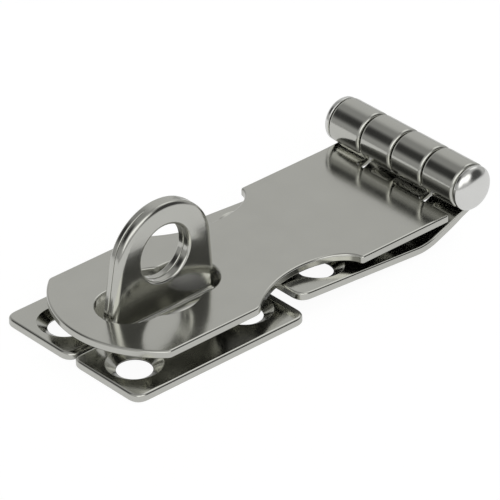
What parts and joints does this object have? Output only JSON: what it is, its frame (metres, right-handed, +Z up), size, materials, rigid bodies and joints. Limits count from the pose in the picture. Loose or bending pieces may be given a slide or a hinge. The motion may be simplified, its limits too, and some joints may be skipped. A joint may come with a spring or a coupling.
{
  "type": "hasp and staple",
  "caption": "Polished steel hasp and staple: slotted strap hinged on a short leaf, closing over a folded upright eye on a screw-down plate.",
  "frame": {"origin": "bottom centre of the closed hasp, on the plane that both halves are screwed to", "axes": "+X along the strap towards the hinge; +Y along the hinge pin; +Z up, away from the mounting surface"},
  "size_m": [0.0987, 0.0438, 0.0281],
  "materials": {
    "sheet_steel": "polished stainless sheet",
    "pin_steel": "polished stainless bar"
  },
  "bodies": {
    "base": {"staple": "sheet_steel", "hinge_pin": "pin_steel"},
    "leaf": {"hinge_leaf": "sheet_steel"},
    "strap": {"hasp_strap": "sheet_steel"}
  },
  "joints": [
    {"name": "strap_swing", "type": "hinge", "parent": "base", "child": "strap", "pos_m": [0.04415, 0, 0.01188], "axis": [0, 1, 0], "range_deg": [0, 180]},
    {"name": "leaf_swing", "type": "hinge", "parent": "base", "child": "leaf", "pos_m": [0.04415, 0, 0.01188], "axis": [0, 1, 0], "range_deg": [-4.2, 0]}
  ]
}
